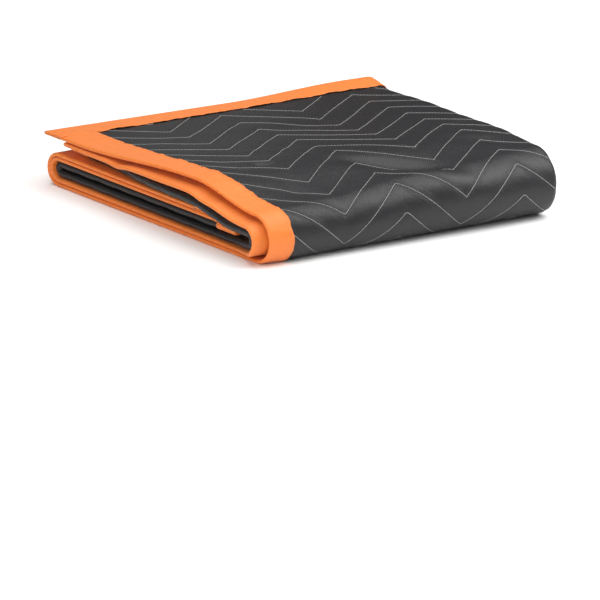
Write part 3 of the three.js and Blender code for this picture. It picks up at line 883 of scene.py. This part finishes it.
def spun_polyester(colours):
    """Charcoal polyester shell cloth, a fine twill with a brushed, matt face. Its slight nap
    gives a soft sheen at the edges, and its uneven dye a faint mottle."""
    made = material("spun_polyester_twill")
    tree = made.node_tree
    place = add_node(tree, "ShaderNodeUVMap", uv_map="cloth")
    # Twill lines of 3.0 mm, coarser than the real 1 mm so that they show
    turned = add_node(tree, "ShaderNodeMapping", [(place.outputs[0], "Vector")],
                      {"Rotation": (0.0, 0.0, math.radians(38))})
    twill = add_node(tree, "ShaderNodeTexWave", [(turned.outputs[0], "Vector")],
                     {"Scale": wave_scale(0.0030), "Distortion": 0.8, "Detail": 1.0,
                      "Detail Scale": 1.5}, wave_type="BANDS")
    nap = noise(tree, place.outputs[0], 900.0, 3.0, 0.6)
    mottle = noise(tree, place.outputs[0], 55.0, 4.0, 0.62)
    rumple = noise(tree, place.outputs[0], 26.0, 3.0, 0.5)
    shade = mottled(tree, mottle, colours.cloth, 0.78, 1.24)
    weave = add_node(tree, "ShaderNodeMix", [(twill.outputs[1], "Factor"),
                                             (shade.outputs["Result"], "A")],
                     data_type="RGBA", blend_type="MULTIPLY")
    weave.inputs["B"].default_value = (0.90, 0.90, 0.91, 1.0)
    shader = add_node(tree, "ShaderNodeBsdfPrincipled", [(weave.outputs["Result"], "Base Color")],
                      {"Roughness": 0.45, "Specular IOR Level": 0.4, "Sheen Weight": 0.01,
                       "Sheen Roughness": 0.5, "Sheen Tint": (0.82, 0.84, 0.88, 1.0)})
    seam = add_node(tree, "ShaderNodeUVMap", uv_map="seam")
    parts = add_node(tree, "ShaderNodeSeparateXYZ", [(seam.outputs[0], "Vector")])
    near = add_node(tree, "ShaderNodeMapRange", [(parts.outputs["Y"], "Value")],
                    {"From Min": 0.0, "From Max": 0.55, "To Min": 1.0, "To Max": 0.0})
    ruck = add_node(tree, "ShaderNodeTexNoise", [(parts.outputs["X"], "W")],
                    {"Scale": 110.0, "Detail": 2.0, "Roughness": 0.6}, noise_dimensions="1D")
    pucker = add_node(tree, "ShaderNodeMath", [(near.outputs[0], 0), (ruck.outputs[0], 1)],
                      operation="MULTIPLY")
    broad = bump(tree, rumple.outputs[0], 0.35, 0.004)
    drawn = bump(tree, pucker.outputs[0], 0.5, 0.0016, broad.outputs[0])
    threads = bump(tree, twill.outputs[1], 0.4, 0.0004, drawn.outputs[0])
    fuzz = bump(tree, nap.outputs[0], 0.35, 0.0004, threads.outputs[0])
    tree.links.new(fuzz.outputs[0], shader.inputs["Normal"])
    add_node(tree, "ShaderNodeOutputMaterial", [(shader.outputs[0], "Surface")])
    return made


def woven_tape(colours):
    """Orange polyester binding tape, a close rib weave. The ribs run across it and catch
    the light as fine lines, and the sewing draws small puckers along its inner edge."""
    made = material("woven_binding_tape")
    tree = made.node_tree
    place = add_node(tree, "ShaderNodeUVMap", uv_map="cloth")
    # Ribs of 2.6 mm along the tape, coarser than the real 0.6 mm so that they show
    ribs = add_node(tree, "ShaderNodeTexWave", [(place.outputs[0], "Vector")],
                    {"Scale": wave_scale(0.0026), "Distortion": 0.6, "Detail": 1.0},
                    wave_type="BANDS", bands_direction="Y")
    stretched = add_node(tree, "ShaderNodeMapping", [(place.outputs[0], "Vector")],
                         {"Scale": (14.0, 60.0, 1.0)})
    pucker = noise(tree, stretched.outputs[0], 1.0, 3.0, 0.55)
    mottle = noise(tree, place.outputs[0], 120.0, 3.0, 0.6)
    shade = mottled(tree, mottle, colours.binding, 0.86, 1.12)
    shader = add_node(tree, "ShaderNodeBsdfPrincipled", [(shade.outputs["Result"], "Base Color")],
                      {"Roughness": 0.5, "Specular IOR Level": 0.4, "Sheen Weight": 0.1,
                       "Sheen Roughness": 0.45, "Sheen Tint": (1.0, 0.86, 0.72, 1.0)})
    broad = bump(tree, pucker.outputs[0], 0.55, 0.0022)
    fine = bump(tree, ribs.outputs[1], 0.35, 0.0003, broad.outputs[0])
    tree.links.new(fine.outputs[0], shader.inputs["Normal"])
    add_node(tree, "ShaderNodeOutputMaterial", [(shader.outputs[0], "Surface")])
    return made


def spun_thread(name, dye):
    """Spun polyester sewing thread, matt, with its ply as a fine mottle."""
    made = material(name)
    tree = made.node_tree
    place = add_node(tree, "ShaderNodeTexCoord")
    ply = noise(tree, place.outputs["Object"], 1400.0, 2.0)
    shade = mottled(tree, ply, dye, 0.8, 1.15)
    shader = add_node(tree, "ShaderNodeBsdfPrincipled", [(shade.outputs["Result"], "Base Color")],
                      {"Roughness": 0.6, "Specular IOR Level": 0.4})
    add_node(tree, "ShaderNodeOutputMaterial", [(shader.outputs[0], "Surface")])
    return made


def painted_floor(colours):
    """Matt painted studio floor, nearly white, with a faint mottle."""
    made = material("matt_studio_floor")
    tree = made.node_tree
    place = add_node(tree, "ShaderNodeTexCoord")
    mottle = noise(tree, place.outputs["Object"], 6.0, 3.0)
    shade = mottled(tree, mottle, colours.floor, 0.985, 1.0)
    shader = add_node(tree, "ShaderNodeBsdfPrincipled", [(shade.outputs["Result"], "Base Color")],
                      {"Roughness": 0.9, "Specular IOR Level": 0.2})
    add_node(tree, "ShaderNodeOutputMaterial", [(shader.outputs[0], "Surface")])
    return made


def shared_material(name, make):
    return bpy.data.materials.get(name) or make()


def dress(obj, made):
    obj.data.materials.clear()
    obj.data.materials.append(made)
    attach(obj, BODY)


class PAD_OT_quilt(bpy.types.Operator):
    """Makes the quilted body in its folded state"""

    bl_idname = "pad.quilt"
    bl_label = "Quilted body"

    def execute(self, context):
        scene = context.scene
        cloth = FoldedCloth(scene.pad_sizes)
        body = mesh_object("quilted_body", *build_quilt(cloth))
        made = shared_material(
            "spun_polyester_twill", lambda: spun_polyester(scene.pad_colours))
        dress(body, made)
        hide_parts("quilt")
        return {"FINISHED"}


class PAD_OT_bindings(bpy.types.Operator):
    """Makes the four binding tapes"""

    bl_idname = "pad.bindings"
    bl_label = "Binding tapes"

    def execute(self, context):
        scene = context.scene
        cloth = FoldedCloth(scene.pad_sizes)
        rng = np.random.default_rng(SEED)
        made = shared_material("woven_binding_tape", lambda: woven_tape(scene.pad_colours))
        tapes = {
            "binding_side_outer": build_side_binding(cloth, 0, rng),
            "binding_side_inner": build_side_binding(cloth, 1, rng),
            "binding_end_top": build_end_binding(cloth, True, rng),
            "binding_end_inner": build_end_binding(cloth, False, rng),
        }
        for node, (parts, seam) in tapes.items():
            tape = mesh_object("tape_" + node, *parts)
            dress(tape, made)
            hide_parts(node)
        sizes = scene.pad_sizes
        thread = shared_material(
            "binding_thread", lambda: spun_thread("binding_thread", scene.pad_colours.tape_thread))
        seams = [seam for parts, seam in tapes.values()]
        topstitch = sew("binding_topstitch", seams, sizes, TOPSTITCH, thread)
        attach(topstitch, BODY)
        return {"FINISHED"}


class PAD_OT_quilting_thread(bpy.types.Operator):
    """Sews the zigzag rows of the outer face"""

    bl_idname = "pad.quilting_thread"
    bl_label = "Quilting thread"

    def execute(self, context):
        scene = context.scene
        sizes = scene.pad_sizes
        cloth = FoldedCloth(sizes)
        made = shared_material(
            "quilting_thread", lambda: spun_thread("quilting_thread", scene.pad_colours.thread))
        rows = sew("quilting_rows", quilting_lines(cloth), sizes, QUILTING_STITCH, made)
        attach(rows, BODY)
        return {"FINISHED"}


class PAD_OT_stage(bpy.types.Operator):
    """Lays the floor, sets the lights and places the camera"""

    bl_idname = "pad.stage"
    bl_label = "Studio"

    AZIMUTH = -33.7
    ELEVATION = 18.0
    DISTANCE = 12.0
    PIXELS_PER_METRE = 653.0
    PIXELS = 600
    AIM_PIXEL = (303.8, 199.3)
    ROOM_LIGHT = 0.09
    FLOOR_HALF = 14.0
    SENSOR_WIDTH = 36.0
    CLIP_END = 60.0

    # Name, place, target, size and power of each light
    LIGHTS = (
        ("overhead_softbox", (0.30, -0.30, 4.00), (0.30, -0.30, 0.0), 5.0, 222.0),
        ("key_softbox", (0.85, -0.75, 1.00), (0.0, 0.0, 0.05), 0.9, 13.0),
        ("left_softbox", (-1.70, -1.10, 0.80), (0.0, 0.0, 0.05), 1.0, 18.0),
        ("back_softbox", (0.22, 0.73, 0.35), (-0.2, 0.1, 0.1), 0.35, 0.12),
    )

    def execute(self, context):
        scene = context.scene
        self.lay_floor(scene)
        self.set_lights(scene)
        self.place_camera(scene)
        return {"FINISHED"}

    def lay_floor(self, scene):
        size = self.FLOOR_HALF
        corners = [(-size, -size, 0), (size, -size, 0), (size, size, 0), (-size, size, 0)]
        floor = mesh_object("studio_floor", np.array(corners, float), [(0, 1, 2, 3)])
        made = shared_material("matt_studio_floor", lambda: painted_floor(scene.pad_colours))
        floor.data.materials.append(made)

    def set_lights(self, scene):
        world = bpy.data.worlds.new("soft_white_room")
        world.use_nodes = True
        background = world.node_tree.nodes["Background"]
        background.inputs["Color"].default_value = (1.0, 1.0, 1.0, 1.0)
        background.inputs["Strength"].default_value = self.ROOM_LIGHT
        scene.world = world
        for name, place, target, size, power in self.LIGHTS:
            data = bpy.data.lights.new(name, "AREA")
            data.size = size
            data.energy = power
            light = bpy.data.objects.new(name, data)
            light.location = place
            aim = Vector(target) - Vector(place)
            light.rotation_euler = aim.to_track_quat("-Z", "Y").to_euler()
            light.visible_camera = False
            scene.collection.objects.link(light)
        scene.view_settings.view_transform = "Standard"

    def place_camera(self, scene):
        azimuth = math.radians(self.AZIMUTH)
        elevation = math.radians(self.ELEVATION)
        back = Vector((
            math.sin(azimuth) * math.cos(elevation),
            -math.cos(azimuth) * math.cos(elevation),
            math.sin(elevation)))
        right = Vector((math.cos(azimuth), math.sin(azimuth), 0.0))
        up = back.cross(right)
        middle = self.PIXELS / 2
        across = (middle - self.AIM_PIXEL[0]) / self.PIXELS_PER_METRE
        above = (self.AIM_PIXEL[1] - middle) / self.PIXELS_PER_METRE
        aim = right * across + up * above
        data = bpy.data.cameras.new("photo_camera")
        data.sensor_width = self.SENSOR_WIDTH
        data.lens = data.sensor_width * self.DISTANCE * self.PIXELS_PER_METRE / self.PIXELS
        data.clip_end = self.CLIP_END
        camera = bpy.data.objects.new("photo_camera", data)
        camera.location = aim + back * self.DISTANCE
        camera.rotation_euler = (-back).to_track_quat("-Z", "Y").to_euler()
        scene.collection.objects.link(camera)
        scene.camera = camera


class PAD_PT_panel(bpy.types.Panel):
    """Lists the pad's pieces in the sidebar"""

    bl_idname = "PAD_PT_panel"
    bl_label = "Folded moving pad"
    bl_space_type = "VIEW_3D"
    bl_region_type = "UI"
    bl_category = "Moving pad"

    def draw(self, context):
        layout = self.layout
        for operator in OPERATORS:
            layout.operator(operator.bl_idname)
        for group in (context.scene.pad_sizes, context.scene.pad_colours):
            for name in group.__annotations__:
                layout.prop(group, name)


OPERATORS = (PAD_OT_quilt, PAD_OT_bindings, PAD_OT_quilting_thread, PAD_OT_stage)
CLASSES = (PadSizes, PadColours, *OPERATORS, PAD_PT_panel)


def register():
    for cls in CLASSES:
        bpy.utils.register_class(cls)
    bpy.types.Scene.pad_sizes = PointerProperty(type=PadSizes)
    bpy.types.Scene.pad_colours = PointerProperty(type=PadColours)


def unregister():
    del bpy.types.Scene.pad_colours
    del bpy.types.Scene.pad_sizes
    for cls in reversed(CLASSES):
        bpy.utils.unregister_class(cls)


def main():
    register()
    bpy.ops.pad.quilt()
    bpy.ops.pad.bindings()
    bpy.ops.pad.quilting_thread()
    bpy.ops.pad.stage()


if __name__ == "__main__":
    main()
